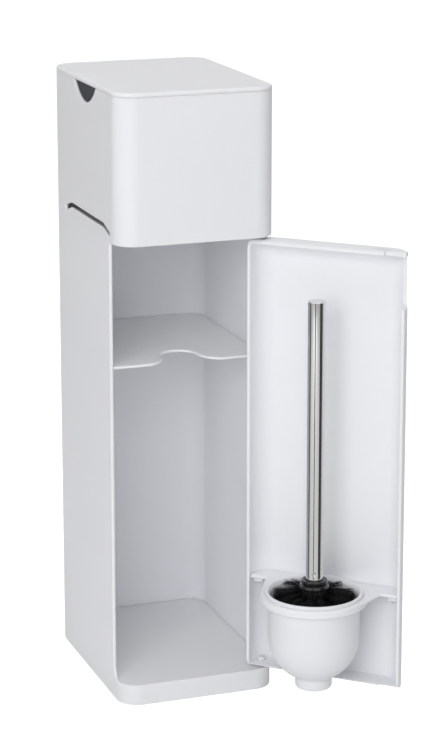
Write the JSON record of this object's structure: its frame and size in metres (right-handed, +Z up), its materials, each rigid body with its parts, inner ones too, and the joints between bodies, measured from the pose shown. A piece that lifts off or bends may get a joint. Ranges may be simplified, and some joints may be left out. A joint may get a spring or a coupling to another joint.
{
  "type": "freestanding toilet butler",
  "caption": "Slim free-standing bathroom cabinet with a lidded top box, a paper slot, a shelf, and a hinged door that carries a brush in its cup.",
  "frame": {"origin": "on the floor, at the middle of the cabinet's footprint", "axes": "+X across the width to the hinge side, -Y to the front, +Z up"},
  "size_m": [0.2412, 0.3169, 0.568],
  "materials": {
    "housing": "gloss white moulded plastic",
    "inner_plate": "satin white moulded plastic",
    "lid": "gloss white moulded plastic",
    "base": "matt pale grey plastic",
    "pad": "black rubber",
    "screw": "zinc plated steel",
    "bush": "natural acetal",
    "catch": "plated steel",
    "door": "gloss white moulded plastic",
    "pin": "bright steel",
    "bracket": "gloss white moulded plastic",
    "cup": "gloss white moulded plastic",
    "tube": "polished stainless steel",
    "collar": "black plastic",
    "bristle": "black nylon bristle"
  },
  "bodies": {
    "cabinet": {"housing_shell": "housing", "upper_floor": "inner_plate", "bay_floor": "inner_plate", "middle_shelf": "inner_plate", "base_cover": "base", "base_screws": "screw", "rubber_feet": "pad", "hinge_bush_top": "bush", "hinge_bush_bottom": "bush", "hinge_washer": "bush", "strike_plate": "catch"},
    "lid": {"lid_panel": "lid"},
    "door": {"door_shell": "door", "hinge_pin_top": "pin", "hinge_pin_bottom": "pin", "door_magnet": "catch", "brush_bracket": "bracket", "bracket_screws": "screw"},
    "cup": {"brush_cup": "cup"},
    "brush": {"handle_tube": "tube", "brush_core": "collar", "bristles": "bristle"}
  },
  "joints": [
    {"name": "door_hinge", "type": "hinge", "parent": "cabinet", "child": "door", "pos_m": [0.0654, -0.0922, 0.225], "axis": [0, 0, 1], "range_deg": [-136.4, 34]},
    {"name": "lid_lift", "type": "slide", "parent": "cabinet", "child": "lid", "axis": [0, 0, 1], "range_m": [0, 0.04]},
    {"name": "cup_lift", "type": "slide", "parent": "door", "child": "cup", "axis": [0, 0, 1], "range_m": [0, 0.014]},
    {"name": "brush_lift", "type": "slide", "parent": "cup", "child": "brush", "axis": [0, 0, 1], "range_m": [0, 0.028]}
  ]
}
